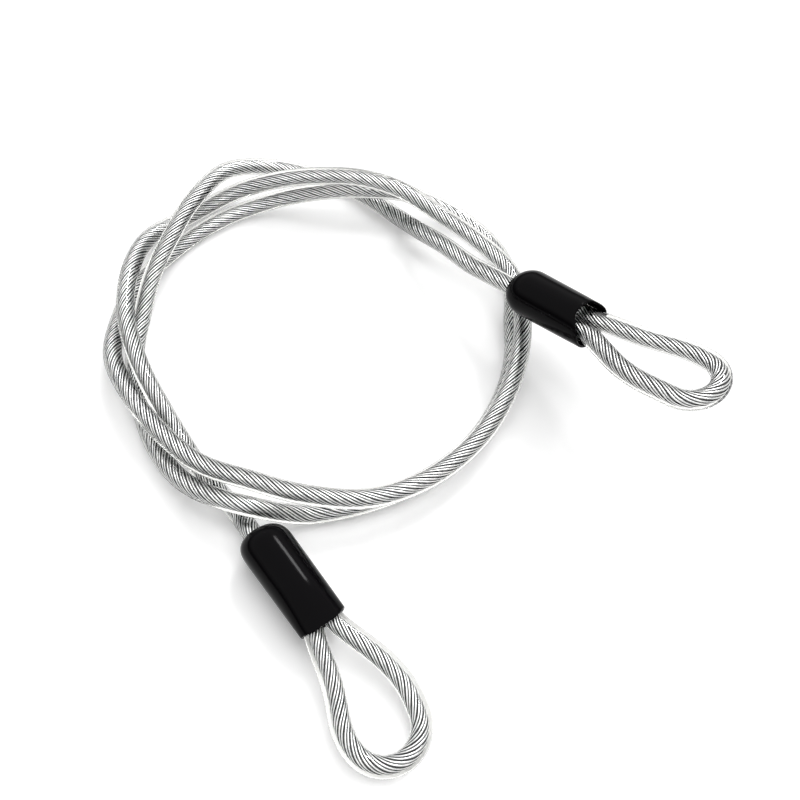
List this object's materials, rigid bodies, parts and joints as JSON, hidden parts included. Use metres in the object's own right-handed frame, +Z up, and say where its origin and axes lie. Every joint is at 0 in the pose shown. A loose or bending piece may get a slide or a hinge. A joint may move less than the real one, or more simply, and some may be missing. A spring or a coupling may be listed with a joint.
{
  "type": "double-eye security cable",
  "caption": "Steel wire rope in a clear jacket, hand-coiled, with a teardrop eye at each end closed inside a black vinyl boot.",
  "frame": {"origin": "on the surface the cable lies on, at the middle of the box round the two boots and the two eyes", "axes": "+Z up from the surface; +Y from eye B back towards the coil; +X to the right, from boot B towards eye A"},
  "size_m": [0.1566, 0.1795, 0.0338],
  "materials": {
    "clear_pvc": "clear, glossy",
    "galvanised_rope": "galvanised",
    "ferrule_aluminium": "satin",
    "black_vinyl": "glossy"
  },
  "bodies": {
    "root": {"coil_jacket": "clear_pvc", "coil_rope": "galvanised_rope", "tail_a_jacket": "clear_pvc", "tail_a_rope": "galvanised_rope", "tail_b_jacket": "clear_pvc", "tail_b_rope": "galvanised_rope", "eye_a_jacket": "clear_pvc", "eye_a_rope": "galvanised_rope", "ferrule_a": "ferrule_aluminium", "boot_a": "black_vinyl", "eye_b_jacket": "clear_pvc", "eye_b_rope": "galvanised_rope", "ferrule_b": "ferrule_aluminium", "boot_b": "black_vinyl"}
  },
  "joints": []
}
